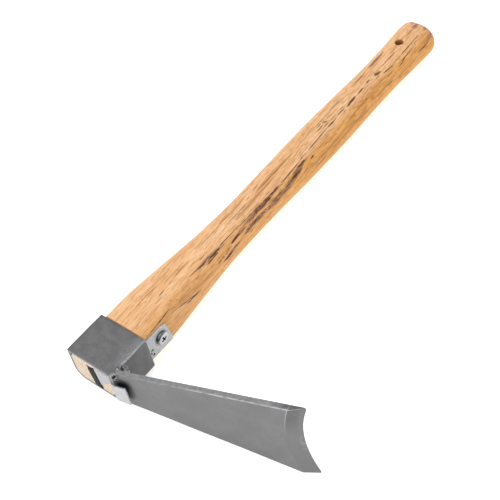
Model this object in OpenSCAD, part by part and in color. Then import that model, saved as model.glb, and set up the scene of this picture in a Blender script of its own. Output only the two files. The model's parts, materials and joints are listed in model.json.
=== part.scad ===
/* [Eye collar] */
// Outside size of the eye, from its back to the blade side
collar_depth = 43.5; // [40:0.5:56]
// Outside size of the eye across the blade's width
collar_width = 30.5; // [28:0.5:40]
// Height of the eye along the handle
collar_height = 36; // [30:1:50]
// Wall thickness of the eye
collar_wall = 2.4; // [1.8:0.1:3]
// Radius of the one well-rounded back corner of the eye
collar_big_radius = 9; // [5:0.5:11]

/* [Blade] */
// Length of the blade from the eye to the middle of the cutting edge
blade_length = 139; // [100:1:180]
// Width across the corners of the cutting edge
edge_width = 80; // [60:1:110]
// Height of the blade's outer face above the lower rim of the eye
blade_step = 1.9; // [0:0.1:3]
// Plate thickness where the blade leaves the eye
root_thickness = 3.7; // [2.5:0.1:5]
// Plate thickness at the cutting edge, before the bevel is ground
tip_thickness = 4.6; // [3:0.1:7]
// Lean of the blade towards the grip, in degrees from square to the handle
blade_lean = 14.2; // [5:0.1:25]
// Length of the ground bevel
bevel_length = 11; // [8:0.5:18]
// How far the blade's root stands out past each side of the eye
root_overhang = 1; // [0:0.1:2]
// Depth of the crescent in the cutting edge
edge_sag = 7.5; // [2:0.5:10]

/* [Handle] */
// Length of the handle
handle_length = 402; // [340:1:500]
// Half thickness of the handle just above the eye
swell_half_width = 16; // [14:0.1:18]
// Radius of the hand-hold at its thin neck
neck_radius = 15.1; // [13:0.1:17]
// Radius of the hand-hold at its belly
belly_radius = 16; // [13:0.1:18]
// Radius of the knob at the end of the handle
knob_radius = 15.8; // [13:0.1:18]
// Diameter of the hanging hole
hang_hole_diameter = 6.6; // [4:0.1:8]

/* [Strip and screw] */
// Width of the galvanised strap
strip_width = 21.4; // [18:0.1:22]
// Thickness of the galvanised strap and shim
strip_thickness = 1.2; // [0.8:0.1:1.6]
// Length of the screwed tab above the eye
tab_length = 24.6; // [20:0.2:30]
// Length of the lip that is bent outwards under the blade
lip_length = 10; // [8:0.1:16]
// Diameter of the screw's head
screw_head_diameter = 11; // [8:0.5:12]

/* [Hidden] */
$fn = 48;

// The tool's own axes: x from the handle towards the blade, y up the handle from the
// lower rim of the eye, z across the blade. lay() then sets the tool down on its side.
clear = 1;                                 // how far cutters run past what they cut
half_depth = collar_depth / 2;
half_width = collar_width / 2;
eye_depth = half_depth - collar_wall;      // half sizes of the eye's inside
eye_width = half_width - collar_wall;
wood_front = eye_depth - strip_thickness;  // the wood stops at the back of the strap
edge_radius = 1;                           // the eye's sharp corners
arc_steps = 6;                             // points round a corner

// Wood in the eye, sawn off level with the lower rim
end_grain_y = 0.2;
eye_corners = [2, 2.6, collar_big_radius - collar_wall + 0.3, 2];
rim_gap = 0.3;                             // between the rim and the handle's shoulder
shoulder_rise = 3;
handle_x = (wood_front - eye_depth) / 2;   // the wood's centre line
swell_half_depth = (wood_front + eye_depth) / 2;
swell_corner = 7;                          // corner radius at the swell

// Hand-hold: a little deeper than it is wide
oval = 1.03;
neck_y = handle_length * 0.43;
belly_y = handle_length * 0.65;
waist_y = handle_length * 0.855;
knob_y = handle_length * 0.97;
waist_radius = knob_radius - 1.3;
hole_y = handle_length - 30.3;
dome_length = 9;
dome_inset = 6;
end_slant = 0.09;                          // the end is cut a little out of square
slant_x = 0.8;                             // which way that cut falls
slant_z = 0.6;
hole_ease = 3;                             // each mouth of the hanging hole opens by this much
ring_step = 8;

// End wedge and its kerf
wedge_x = handle_x + 0.9;
wedge_turn = 4.6;                          // the wedge was driven a little askew
wedge_thickness = 6.6;
wedge_side = wedge_x + wedge_thickness / 2; // the face next to the shim's head
wedge_tip = 0.8;
wedge_depth = 28;
wedge_top = eye_width - 3.9;               // top of the wedge on its middle line
wedge_rake = 0.68;                         // slope of that top
kerf_lip = 0.5;
kerf_mouth = 2;                            // depth of the gap round the wedge
kerf_taper = 0.4;                          // how far the gap's sides draw in over that depth

// Strap, shim and screw
strap_low = 1.4 - eye_width;
strap_high = strap_low + strip_width;
tab_end = collar_height + tab_length;
tab_skew = 4.1;
tab_corner = 2;
lip_tilt = 10;
bend = 1.4;
lip_low = 0.5 - eye_width;
lip_high = 5.4;
lip_flare = 0.17;                          // the lip widens as it leaves the eye
shim_leg = 20;
shim_low = 3;
shim_tail = 5 - eye_width;                 // lowest point of the shim's pointed head
shim_face = 0.3;                           // the shim's head is hammered into the end grain
shim_lap = 0.5;                            // the head runs this far under the wedge's flank
shim_point = 1.5;                          // and leaves it by this much at its lower point
shim_drop = 1.6;                           // fall of the head's upper edge towards the wedge
screw_y = collar_height + tab_length * 0.59;
screw_z = strap_low + strip_width / 2 + 0.8;
screw_shank = 4;
screw_length = 20;
screw_tip = 4;
screw_play = 0.4;                          // the strap's hole is wider than the shank by this
head_height = 2.8;
head_dome = screw_head_diameter * 0.72;    // radius of the head's crown
recess_turn = 20;
recess_depth = 1.6;
recess_width = 1.3;

// Blade outline, measured along its outer face
edge_corner = blade_length + edge_sag;
root_half = half_width + root_overhang;
flare = (edge_width / 2 - root_half) / edge_corner;
crescent_radius = (pow(edge_width / 2, 2) + pow(edge_sag, 2)) / (2 * edge_sag);
edge_land = 0.3;
weld_leg = 7;
weld_ripple = 0.18;                        // how much the bead swells and shrinks round its leg

function lerp(a, b, t) = a + (b - a) * t;

// Points round a rectangle with its own radius on each corner, anticlockwise from
// the corner at +x, +z.
function round_box(x0, x1, z0, z1, r) = [
    for (q = [0:3]) for (k = [0:arc_steps]) let (
        a = 90 * (q + k / arc_steps),
        cx = (q == 0 || q == 3) ? x1 - r[q] : x0 + r[q],
        cz = q < 2 ? z1 - r[q] : z0 + r[q]
    ) [cx + r[q] * cos(a), cz + r[q] * sin(a)]
];

// Stations of the handle above the eye: height, half depth, half width, corner radius
function hand_hold(y, r) = [y, r * oval, r / oval, r / oval];
function flank(t, ease, corner) = [
    lerp(collar_height, neck_y, t),
    lerp(swell_half_depth, neck_radius * oval, ease),
    lerp(swell_half_width, neck_radius / oval, ease),
    corner
];
stations = [
    flank(0.02, 0, 6),
    flank(0.21, 0, swell_corner),
    flank(0.46, 0.5, 9.5),
    flank(0.70, 0.86, 13),
    hand_hold(neck_y, neck_radius),
    hand_hold(belly_y, belly_radius),
    hand_hold(waist_y, waist_radius),
    hand_hold(knob_y, knob_radius)
];

// Smooth curve through the stations, at height y
function slope(i) = let (a = stations[max(i - 1, 0)], b = stations[min(i + 1, len(stations) - 1)])
    (b - a) / (b[0] - a[0]);
function span_at(y, i = 0) = (i >= len(stations) - 2 || y < stations[i + 1][0]) ? i : span_at(y, i + 1);
function station_at(y) = let (
    i = span_at(y),
    h = stations[i + 1][0] - stations[i][0],
    t = (y - stations[i][0]) / h
) stations[i] * (1 + 2 * t) * pow(1 - t, 2) + slope(i) * h * t * pow(1 - t, 2)
    + stations[i + 1] * t * t * (3 - 2 * t) - slope(i + 1) * h * t * t * (1 - t);

function at_height(y, outline) = [for (p = outline) [p[0], y, p[1]]];
function eye_ring(y) = at_height(y,
    round_box(-eye_depth, wood_front, -eye_width, eye_width, eye_corners));
function ring(y, s, inset = 0) = let (a = s[1] - inset, b = s[2] - inset, r = min(s[3], b) - inset / 2)
    at_height(y, round_box(handle_x - a, handle_x + a, -b, b, [r, r, r, r]));
// Tips a ring back on the side away from the blade, keeping its highest point in place.
function slanted(t, r) = [for (p = r)
    [p[0], p[1] + t * (slant_x * (p[0] - handle_x) - slant_z * p[2] + dome_inset - knob_radius), p[2]]];
handle_rings = concat(
    [eye_ring(end_grain_y), eye_ring(collar_height + rim_gap - 0.1)],
    [for (k = [0:2]) let (a = 45 * k)
        ring(collar_height + rim_gap + shoulder_rise * (1 - cos(a)) / 3, stations[0], 1 - sin(a))],
    [for (y = [stations[1][0] - 20 : ring_step : knob_y - 1]) ring(y, station_at(y))],
    [for (k = [0:arc_steps]) let (a = 90 * k / arc_steps)
        slanted(end_slant * k / arc_steps,
            ring(handle_length - dome_length * (1 - sin(a)), stations[7], dome_inset * (1 - cos(a))))]
);

// Solid through a stack of rings, closed at both ends
module loft(rings) {
    n = len(rings[0]);
    m = len(rings);
    polyhedron(
        points = [for (r = rings) each r],
        faces = concat(
            [[for (j = [n - 1:-1:0]) j]],
            [for (i = [0:m - 2]) for (j = [0:n - 1]) let (a = i * n + j, b = i * n + (j + 1) % n)
                each [[a, b, b + n], [a, b + n, a + n]]],
            [[for (j = [0:n - 1]) (m - 1) * n + j]]
        )
    );
}

// Extrudes a polygon of (x, y) points across the tool, from z0 to z1.
module across(points, z0, z1) translate([0, 0, z0]) linear_extrude(z1 - z0) polygon(points);

// Extrudes a polygon of (x, z) points up the handle, from y0 to y1.
module upward(points, y0, y1) translate([0, y1, 0]) rotate([90, 0, 0])
    linear_extrude(y1 - y0) polygon(points);

// The roll that lays the tool down on the blade's corner and the handle's swell.
corner_x = half_depth + edge_corner * cos(blade_lean) - tip_thickness * sin(blade_lean);
corner_z = -edge_width / 2;
function swell_low(t) = (handle_x - swell_half_depth + swell_corner) * sin(t)
    - (swell_half_width - swell_corner) * cos(t) - swell_corner;
function knob_low(t) = handle_x * sin(t) - knob_radius / oval;
function roll_at(t, n) = n == 0 ? t : roll_at(asin((swell_low(t) - corner_z * cos(t)) / corner_x), n - 1);
roll = roll_at(8, 8);
pitch = -asin((knob_low(roll) - swell_low(roll)) / (knob_y - stations[1][0]));
ground = swell_low(roll) + stations[1][0] * sin(pitch);
left_end = -(half_depth - edge_radius) * cos(roll) - (half_width - edge_radius) * sin(roll) - edge_radius;
right_end = corner_x * cos(roll) - corner_z * sin(roll);
near_end = -strip_thickness;
module lay() translate([-(left_end + right_end) / 2, -(near_end + handle_length) / 2, -ground])
    rotate([pitch, 0, 0]) rotate([0, -roll, 0]) children();

module blade_frame() translate([half_depth, blade_step, 0]) rotate([0, 0, blade_lean]) children();

module collar_block(grow = 0) upward(
    round_box(-half_depth, half_depth, -half_width, half_width,
        [edge_radius, edge_radius, collar_big_radius, edge_radius]),
    -grow, collar_height + grow);

module blade_blank() intersection() {
    across([[0, 0], [edge_corner, 0], [edge_corner, tip_thickness],
        [root_thickness * tan(blade_lean), root_thickness]], -edge_width, edge_width);
    upward([[-clear, flare * clear - root_half], [edge_corner, -edge_width / 2],
        [edge_corner, edge_width / 2], [-clear, root_half - flare * clear]],
        -clear, tip_thickness + clear);
}

// Outside of the cone that grinds the crescent bevel, and the round that trims the edge
module bevel_cutter() translate([blade_length + crescent_radius, 0, 0]) rotate([-90, 0, 0]) {
    slope_per_mm = bevel_length / (tip_thickness - edge_land);
    translate([0, 0, -clear]) cylinder(
        h = tip_thickness - edge_land + clear,
        r1 = crescent_radius + bevel_length + slope_per_mm * clear,
        r2 = crescent_radius, $fn = 180);
    cylinder(h = tip_thickness + clear, r = crescent_radius, $fn = 180);
}

module screw_shape() translate([eye_depth, screw_y, screw_z]) rotate([0, 90, 0]) {
    translate([0, 0, screw_tip - screw_length]) cylinder(h = screw_length - screw_tip, d = screw_shank);
    translate([0, 0, -screw_length]) cylinder(h = screw_tip, d1 = 0.6, d2 = screw_shank);
}

// Everything that lies inside the eye's opening
module eye_space() upward(round_box(-eye_depth, eye_depth, -eye_width, eye_width,
    [1.5, 1.5, collar_big_radius - collar_wall, 1.5]), -clear, collar_height + clear);

module wedge_shape(lip = 0) intersection() {
    w0 = wedge_thickness / 2;
    w1 = wedge_tip / 2;
    translate([wedge_x, 0, 0]) rotate([0, -wedge_turn, 0]) {
        across([[-w0, 0], [w0, 0], [w1, wedge_depth], [-w1, wedge_depth]], -collar_width, collar_width);
        if (lip > 0)
            across([[-w0 - lip, -clear], [w0 + lip, -clear], [w0 - kerf_taper, kerf_mouth],
                [kerf_taper - w0, kerf_mouth]], -collar_width, collar_width);
    }
    upward([for (side = [-half_depth, half_depth]) [side, wedge_top + lip + wedge_rake * (side - wedge_x)],
        [half_depth, -half_width], [-half_depth, -half_width]], -clear, collar_height);
    eye_space();
}

module handle() color("BurlyWood") difference() {
    loft(handle_rings);
    wedge_shape(kerf_lip);
    shim_shape();
    screw_shape();
    translate([handle_x, hole_y, 0]) {
        cylinder(h = 4 * knob_radius, d = hang_hole_diameter, center = true);
        for (side = [0, 1]) mirror([0, 0, side])
            translate([0, 0, waist_radius / oval - 0.6])
                cylinder(h = hole_ease, d1 = hang_hole_diameter, d2 = hang_hole_diameter + 2 * hole_ease);
    }
}

module end_wedge() color("DimGray") wedge_shape();

module eye_collar() color("Gray") difference() {
    collar_block();
    eye_space();
}

module blade() color("DarkGray") blade_frame() difference() {
    blade_blank();
    bevel_cutter();
}

// Fillet behind the blade, and the lumps where the bead was started and stopped
module weld_bead() color("SlateGray") difference() {
    union() {
        wall_y = blade_step + root_thickness / cos(blade_lean);
        across([
            [half_depth - clear, wall_y - clear],
            [half_depth - clear, wall_y + weld_leg],
            for (k = [0:5]) let (
                a = lerp(90, blade_lean, k / 5),
                r = weld_leg * (1 - weld_ripple * sin(36 * k))
            )
                [half_depth + r * cos(a), wall_y + r * sin(a)],
            [half_depth + clear, wall_y - clear]
        ], -half_width + 0.5, half_width - 1.5);
        translate([half_depth + 0.8, blade_step, half_width - 0.8]) sphere(r = 3);
        translate([half_depth, wall_y + 1.6, half_width - 1.2]) sphere(r = 2.8);
        translate([half_depth + 2, wall_y + 5.6, half_width - 1.8]) sphere(r = 2.3);
        translate([half_depth + 5, wall_y + 4, half_width - 2.2]) sphere(r = 2.4);
    }
    collar_block(clear);
    blade_frame() blade_blank();
}

// Strap: a screwed tab, a leg inside the eye and a lip bent out over the lower rim
module retaining_strap() color("Gainsboro") difference() {
    union() {
        translate([wood_front, bend, strap_low])
            cube([strip_thickness, collar_height - bend, strip_width]);
        intersection() {
            across(concat(
                [[eye_depth, bend], [wood_front, bend]],
                [for (k = [0:arc_steps]) let (a = 180 + 90 * k / arc_steps)
                    [wood_front + bend * (1 + cos(a)), bend - strip_thickness + bend * sin(a)]],
                [[half_depth, -strip_thickness],
                 [half_depth + lip_length * cos(lip_tilt), lip_length * sin(lip_tilt) - strip_thickness],
                 [half_depth + lip_length * cos(lip_tilt), lip_length * sin(lip_tilt)],
                 [half_depth, 0], [eye_depth, 0]]
            ), -collar_width, collar_width);
            upward([[wood_front - clear, lip_low], [half_depth, lip_low],
                [half_depth + 2 * lip_length, lip_low],
                [half_depth + 2 * lip_length, lip_high + lip_flare * 2 * lip_length],
                [half_depth, lip_high], [wood_front - clear, lip_high]],
                -2 * clear - strip_thickness, lip_length);
        }
        translate([wood_front, 0, 0]) rotate([0, 90, 0]) linear_extrude(strip_thickness) polygon(concat(
            [[-strap_low, collar_height - clear]],
            [for (k = [0:arc_steps]) let (a = 90 * k / arc_steps)
                [tab_corner * (cos(a) - 1) - strap_low, tab_end + tab_corner * (sin(a) - 1)]],
            [for (k = [0:arc_steps]) let (a = 90 + 90 * k / arc_steps)
                [tab_corner * (cos(a) + 1) - strap_high, tab_end - tab_skew + tab_corner * (sin(a) - 1)]],
            [[-strap_high, collar_height - clear]]
        ));
    }
    translate([eye_depth, screw_y, screw_z]) rotate([0, 90, 0])
        cylinder(h = 4 * strip_thickness, d = screw_shank + screw_play, center = true);
}

// Shim: a leg driven in behind the strap and a head folded down over the end grain
module shim_shape() {
    back = wood_front - strip_thickness;
    head = shim_face + strip_thickness;
    translate([back, head, shim_low]) cube([strip_thickness, shim_leg - head, eye_width - shim_low]);
    intersection() {
        across(concat(
            [[wedge_x, head], [wedge_x, shim_face]],
            [for (k = [0:arc_steps]) let (a = 270 + 90 * k / arc_steps)
                [back + strip_thickness * cos(a), head + strip_thickness * sin(a)]]
        ), -eye_width, eye_width);
        upward([[wedge_side - shim_lap, eye_width - shim_drop], [wood_front, eye_width],
            [wood_front, shim_low], [wedge_side + shim_point, shim_tail + 0.2],
            [wedge_side + shim_point - shim_lap, shim_tail]], -clear, head + clear);
    }
}

module shim_plate() color("LightGray") shim_shape();

module strap_screw() color("Silver") difference() {
    union() {
        screw_shape();
        translate([eye_depth, screw_y, screw_z]) rotate([0, 90, 0]) intersection() {
            cylinder(h = head_height, d = screw_head_diameter);
            translate([0, 0, head_height - head_dome]) sphere(r = head_dome, $fn = 96);
        }
    }
    translate([eye_depth + head_height, screw_y, screw_z])
        for (turn = [0, 90]) rotate([turn + recess_turn, 0, 0])
            cube([2 * recess_depth, recess_width, screw_head_diameter / 2], center = true);
}

lay() handle();
lay() end_wedge();
lay() eye_collar();
lay() blade();
lay() weld_bead();
lay() retaining_strap();
lay() shim_plate();
lay() strap_screw();
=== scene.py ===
import json
import math

import bmesh
import bpy
import numpy as np
from mathutils import Matrix, Vector, noise


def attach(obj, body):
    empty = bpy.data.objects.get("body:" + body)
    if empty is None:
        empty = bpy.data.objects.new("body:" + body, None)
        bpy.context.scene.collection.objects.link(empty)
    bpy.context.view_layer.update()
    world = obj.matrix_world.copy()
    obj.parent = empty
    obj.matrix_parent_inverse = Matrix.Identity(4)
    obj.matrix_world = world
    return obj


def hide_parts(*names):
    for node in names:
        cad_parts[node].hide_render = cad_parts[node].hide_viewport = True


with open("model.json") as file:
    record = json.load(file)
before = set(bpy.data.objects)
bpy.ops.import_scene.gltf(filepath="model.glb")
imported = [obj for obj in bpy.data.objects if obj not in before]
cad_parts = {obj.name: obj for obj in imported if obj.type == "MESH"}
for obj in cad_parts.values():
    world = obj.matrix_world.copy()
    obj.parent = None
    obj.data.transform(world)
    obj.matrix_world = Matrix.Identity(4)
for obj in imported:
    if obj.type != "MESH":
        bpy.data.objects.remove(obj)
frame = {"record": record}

MM = 0.001

# Eye
HALF_DEPTH = 21.75
HALF_WIDTH = 15.25
EYE_HEIGHT = 36.0
WALL = 2.4
EYE_DEPTH = HALF_DEPTH - WALL
EYE_WIDTH = HALF_WIDTH - WALL
OUTER_CORNERS = [1, 1, 9, 1]
INNER_CORNERS = [1.5, 1.5, 6.6, 1.5]
RIM_ROUND, RIM_MIDDLE = 0.45, 0.13
DENT, DENT_SIZE, DENT_RADIUS = 0.12, 11, 18
RIM_WAVE, RIM_WAVE_SIZE = 0.1, 9

# Blade
LEAN = math.radians(14.2)
BLADE_STEP = 1.9
BLADE_LENGTH = 139.0
EDGE_WIDTH = 80.0
EDGE_SAG = 7.5
ROOT_THICKNESS = 3.7
TIP_THICKNESS = 4.6
BEVEL_LENGTH = 11.0
EDGE_LAND = 0.3
CORNER_ROUND, CORNER_WEAR = 3.2, 0.8
PLATE_WAVE, PLATE_WAVE_SIZE = 0.12, 35
ROOT_HALF = HALF_WIDTH + 1.0
EDGE_CORNER = BLADE_LENGTH + EDGE_SAG
FLARE = (EDGE_WIDTH / 2 - ROOT_HALF) / EDGE_CORNER
CRESCENT = ((EDGE_WIDTH / 2) ** 2 + EDGE_SAG ** 2) / (2 * EDGE_SAG)

# Handle
HANDLE_LENGTH = 402.0
SHEET = 1.2
WOOD_FRONT = EYE_DEPTH - SHEET
HANDLE_X = (WOOD_FRONT - EYE_DEPTH) / 2
SWELL_DEPTH = (WOOD_FRONT + EYE_DEPTH) / 2
SWELL_WIDTH = 16.0
NECK, BELLY, KNOB = 15.1, 16.0, 15.8
WAIST = KNOB - 1.3
OVAL = 1.03
NECK_Y, BELLY_Y, WAIST_Y, KNOB_Y = (HANDLE_LENGTH * part for part in (0.43, 0.65, 0.855, 0.97))
END_GRAIN_Y = 0.2
TENON_CORNERS = [2, 2.6, 6.9, 2]
SHOULDER_RISE, SHOULDER_INSET = 1.2, 1.1
HEWN, HEWN_SIZE, HEWN_RADIUS = 0.22, 14, 16
HOLE_Y = HANDLE_LENGTH - 30.3
HOLE_RADIUS = 3.3
# z and radius of the hanging hole's cutter, from outside the wood inwards
HOLE_FLARE = [(20, 8), (15.6, 4.6), (14.2, HOLE_RADIUS + 0.15), (12, HOLE_RADIUS)]
DOME_TOP = HANDLE_LENGTH - 0.8
DOME_LENGTH, DOME_INSET = 9.0, 6.0
DOME_SQUARE = 0.8
DOME_CROWN = 0.5
END_SLANT = 0.09
SLANT_X, SLANT_Z = 0.8, 0.6

# Wedge
WEDGE_X = HANDLE_X + 0.9
WEDGE_HALF = 3.5
WEDGE_LENGTH, WEDGE_POINT = 28, 0.4
KERF_DEPTH = 6
WEDGE_TURN = math.radians(4.6)
WEDGE_TOP = EYE_WIDTH - 3.9
WEDGE_RAKE = 0.68

# Strap
STRAP_LOW = 1.4 - EYE_WIDTH
STRAP_WIDTH = 21.4
TAB_LENGTH = 24.6
TAB_SKEW = 4.1
TAB_END = EYE_HEIGHT + TAB_LENGTH
LIP_LOW, LIP_HIGH = 0.5 - EYE_WIDTH, 5.4
LIP_LENGTH = 10.0
LIP_TILT = math.radians(10)
LIP_FLARE = 0.17
STRAP_BEND = 1.2
TAB_CORNER, LIP_CORNER = 2.0, 1.0
TWIST_TOP, TWIST_END = 4.0, 0.6

# Shim
SHIM_LOW, SHIM_HIGH = 3.0, EYE_WIDTH - 0.05
SHIM_TAIL, SHIM_TAIL_HIGH = 5.0 - EYE_WIDTH, EYE_WIDTH - 1.6
SHIM_FACE = -0.15
SHIM_DEPTH = 20
SHIM_BEND = 0.8
SHIM_END = WEDGE_X + WEDGE_HALF - 0.7
SHIM_SKEW = 1.5
SHIM_WAVE, SHIM_WAVE_SIZE = 0.12, 6

# Weld
PLATE_BACK = BLADE_STEP + ROOT_THICKNESS / math.cos(LEAN)
FILLET_RADIUS, FILLET_STEP = 3.6, 2.2
LUMPINESS = 0.16
# Lumps on the upper side: x, y, z, radius, seed
UPPER_LUMPS = [(HALF_DEPTH + 0.8, BLADE_STEP, HALF_WIDTH - 0.8, 3.0, 1.3),
               (HALF_DEPTH, PLATE_BACK + 1.6, HALF_WIDTH - 1.2, 2.8, 4.1),
               (HALF_DEPTH + 2, PLATE_BACK + 5.6, HALF_WIDTH - 1.8, 2.3, 7.7),
               (HALF_DEPTH + 5, PLATE_BACK + 4, HALF_WIDTH - 2.2, 2.4, 9.2)]

# Screw
SCREW_Y = EYE_HEIGHT + TAB_LENGTH * 0.59
SCREW_Z = STRAP_LOW + STRAP_WIDTH / 2 + 0.8
SCREW_SEAT = WOOD_FRONT + SHEET
SCREW_RADIUS = 5.5
HEAD_HEIGHT = 2.8
HEAD_RIM = 0.7
HEAD_SQUARE = 0.75
SHANK_RADIUS = 2.0
RECESS_TURNS = (20, 110)

# Colours, linear
WOOD_LIGHT = (0.84, 0.52, 0.285)
WOOD_MID = (0.78, 0.435, 0.205)
WOOD_PALE = (0.88, 0.57, 0.33)
WOOD_ORANGE = (0.71, 0.34, 0.085)
WOOD_LINE = (0.45, 0.19, 0.06)
WOOD_PORE = (0.16, 0.050, 0.014)
WOOD_STAIN = (0.155, 0.067, 0.055)
WOOD_BRUISE = (0.29, 0.145, 0.115)
WOOD_DARK = (0.07, 0.022, 0.010)
HOLE_LINING = (0.38, 0.145, 0.028)
END_GRAIN = (0.70, 0.57, 0.435)
END_GRAIN_DARK = (0.36, 0.24, 0.13)
COLLAR_DARK = (0.115, 0.115, 0.118)
COLLAR_LIGHT = (0.145, 0.145, 0.148)
COLLAR_WORN = (0.27, 0.27, 0.28)
COLLAR_BRIGHT = (0.42, 0.43, 0.45)
BLADE_DARK = (0.146, 0.146, 0.148)
BLADE_LIGHT = (0.166, 0.166, 0.169)
BLADE_BRIGHT = (0.50, 0.51, 0.52)
SIDE_DARK = (0.20, 0.20, 0.205)
SIDE_LIGHT = (0.26, 0.26, 0.265)
SIDE_SCALE = (0.085, 0.085, 0.09)
BEVEL_DARK = (0.105, 0.106, 0.109)
BEVEL_LIGHT = (0.170, 0.171, 0.174)
SOOT_AND_SHADE = (0.045, 0.045, 0.046)
SOOT_AND_SHADOW_BLACK = (0.012, 0.012, 0.012)
WELD_DARK = (0.06, 0.06, 0.062)
WELD_LIGHT = (0.34, 0.34, 0.35)
ZINC_DARK = (0.35, 0.36, 0.37)
ZINC_LIGHT = (0.47, 0.48, 0.49)
ZINC_GRIME_AND_SHADE = (0.12, 0.12, 0.12)
ZINC_SHADE = (0.22, 0.225, 0.23)
SCREW_DARK = (0.34, 0.35, 0.37)
SCREW_LIGHT = (0.50, 0.51, 0.54)
WEDGE_DARK = (0.008, 0.008, 0.009)
WEDGE_LIGHT = (0.02, 0.02, 0.023)
WEDGE_WORN = (0.035, 0.035, 0.04)

# Painted shadows of small nicks and gaps in the strap just above the eye: height, z, half sizes
NICK_SHADOWS = [(39.7, -2.9, 1.6, 1.0), (40.0, -7.9, 1.3, 1.4), (38.2, -5.2, 0.8, 1.6)]

MOUNTS = {m["name"]: m for m in frame["record"]["mounts"]}


def tool_matrix():
    """Where the tool's own axes lie in the row frame."""
    along = Vector(MOUNTS["grip"]["axis"])
    across = Vector(MOUNTS["hang_hole"]["axis"])
    turn = Matrix((along.cross(across), along, across)).transposed()
    hole = Vector((HANDLE_X, HOLE_Y, 0)) * MM
    return Matrix.Translation(Vector(MOUNTS["hang_hole"]["pos_m"]) - turn @ hole) @ turn.to_4x4()


TOOL = tool_matrix()
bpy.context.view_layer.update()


# ---------------------------------------------------------------- mesh helpers

def lerp(a, b, t):
    return a + (b - a) * t


def wobble(x, y, z, size, seed=0.0):
    """Smooth noise from -1 to 1 with features about size millimetres across."""
    return noise.noise(Vector((x / size + seed, y / size - seed, z / size + 2 * seed)))


def make_object(name, verts, faces):
    """An object from points in the tool's millimetres, its doubles merged and its faces turned out."""
    mesh = bpy.data.meshes.new(name)
    mesh.from_pydata([tuple(float(c) * MM for c in v) for v in verts], [], faces)
    tidy = bmesh.new()
    tidy.from_mesh(mesh)
    bmesh.ops.remove_doubles(tidy, verts=tidy.verts, dist=1e-7)
    bmesh.ops.recalc_face_normals(tidy, faces=tidy.faces)
    tidy.to_mesh(mesh)
    tidy.free()
    obj = bpy.data.objects.new(name, mesh)
    bpy.context.scene.collection.objects.link(obj)
    obj.matrix_world = TOOL
    return obj


def loft(rings, wrap=False):
    """Vertices and faces of a skin over closed rings that all have the same number of points.
    Either the last ring joins the first, or both ends are closed by a face."""
    n, m = len(rings[0]), len(rings)
    verts = [p for ring in rings for p in ring]
    faces = []
    for i in range(m if wrap else m - 1):
        a, b = i * n, ((i + 1) % m) * n
        faces += [(a + j, a + (j + 1) % n, b + (j + 1) % n, b + j) for j in range(n)]
    if not wrap:
        faces += [tuple(range(n)), tuple(range((m - 1) * n, m * n))]
    return verts, faces


def rounded_rect(x0, x1, z0, z1, radii, corner=10, side=12):
    """(x, z) points round a rectangle with its own radius on each corner."""
    centres = [(x1 - radii[0], z1 - radii[0]), (x0 + radii[1], z1 - radii[1]),
               (x0 + radii[2], z0 + radii[2]), (x1 - radii[3], z0 + radii[3])]
    arcs = []
    for q, ((cx, cz), r) in enumerate(zip(centres, radii)):
        angles = [math.radians(90 * (q + k / corner)) for k in range(corner + 1)]
        arcs.append([(cx + r * math.cos(a), cz + r * math.sin(a)) for a in angles])
    points = []
    for q in range(4):
        a, b = arcs[q][-1], arcs[(q + 1) % 4][0]
        points += arcs[q]
        points += [(lerp(a[0], b[0], k / side), lerp(a[1], b[1], k / side)) for k in range(1, side)]
    return points


def thick_sheet(name, grid, thickness):
    """A sheet of even thickness round a grid of mid-surface points."""
    mid = np.array(grid, float)
    du = np.gradient(mid, axis=0)
    dv = np.gradient(mid, axis=1)
    normal = np.cross(du, dv)
    normal /= np.linalg.norm(normal, axis=2, keepdims=True)
    top, low = mid + normal * thickness / 2, mid - normal * thickness / 2
    n, m = mid.shape[:2]
    verts = [*top.reshape(-1, 3), *low.reshape(-1, 3)]

    def at(i, j, side):
        return side * n * m + i * m + j

    faces = []
    for i in range(n - 1):
        for j in range(m - 1):
            faces.append((at(i, j, 0), at(i + 1, j, 0), at(i + 1, j + 1, 0), at(i, j + 1, 0)))
            faces.append((at(i, j, 1), at(i, j + 1, 1), at(i + 1, j + 1, 1), at(i + 1, j, 1)))
    rim = [(i, 0) for i in range(n)] + [(n - 1, j) for j in range(1, m)]
    rim += [(i, m - 1) for i in range(n - 2, -1, -1)] + [(0, j) for j in range(m - 2, 0, -1)]
    for (i, j), (k, l) in zip(rim, rim[1:] + rim[:1]):
        faces.append((at(i, j, 0), at(k, l, 0), at(k, l, 1), at(i, j, 1)))
    return make_object(name, verts, faces)


def bake(obj):
    """Keeps what the modifiers make of the mesh."""
    made = bpy.data.meshes.new_from_object(obj.evaluated_get(bpy.context.evaluated_depsgraph_get()))
    obj.modifiers.clear()
    obj.data = made


def cut(obj, cutter):
    """Takes the cutter's shape out of obj."""
    bpy.context.view_layer.update()
    step = obj.modifiers.new("cut", "BOOLEAN")
    step.operation = "DIFFERENCE"
    step.solver = "EXACT"
    step.object = cutter
    bake(obj)
    bpy.data.objects.remove(cutter)


def soften(obj, width, segments=2, angle=35):
    """Rounds every edge sharper than the angle."""
    step = obj.modifiers.new("soften", "BEVEL")
    step.width = width * MM
    step.segments = segments
    step.limit_method = "ANGLE"
    step.angle_limit = math.radians(angle)
    bpy.context.view_layer.update()
    bake(obj)


def dress(obj, node, material, smooth=40):
    """Shades the piece, lays its mesh out in the row frame and puts it in the place of a CAD node."""
    obj.data.transform(TOOL)
    obj.matrix_world = Matrix.Identity(4)
    obj.data.shade_smooth()
    obj.data.set_sharp_from_angle(angle=math.radians(smooth))
    obj.data.materials.clear()
    obj.data.materials.append(material)
    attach(obj, "root")
    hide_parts(node)
    return obj


# ---------------------------------------------------------------- materials

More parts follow.
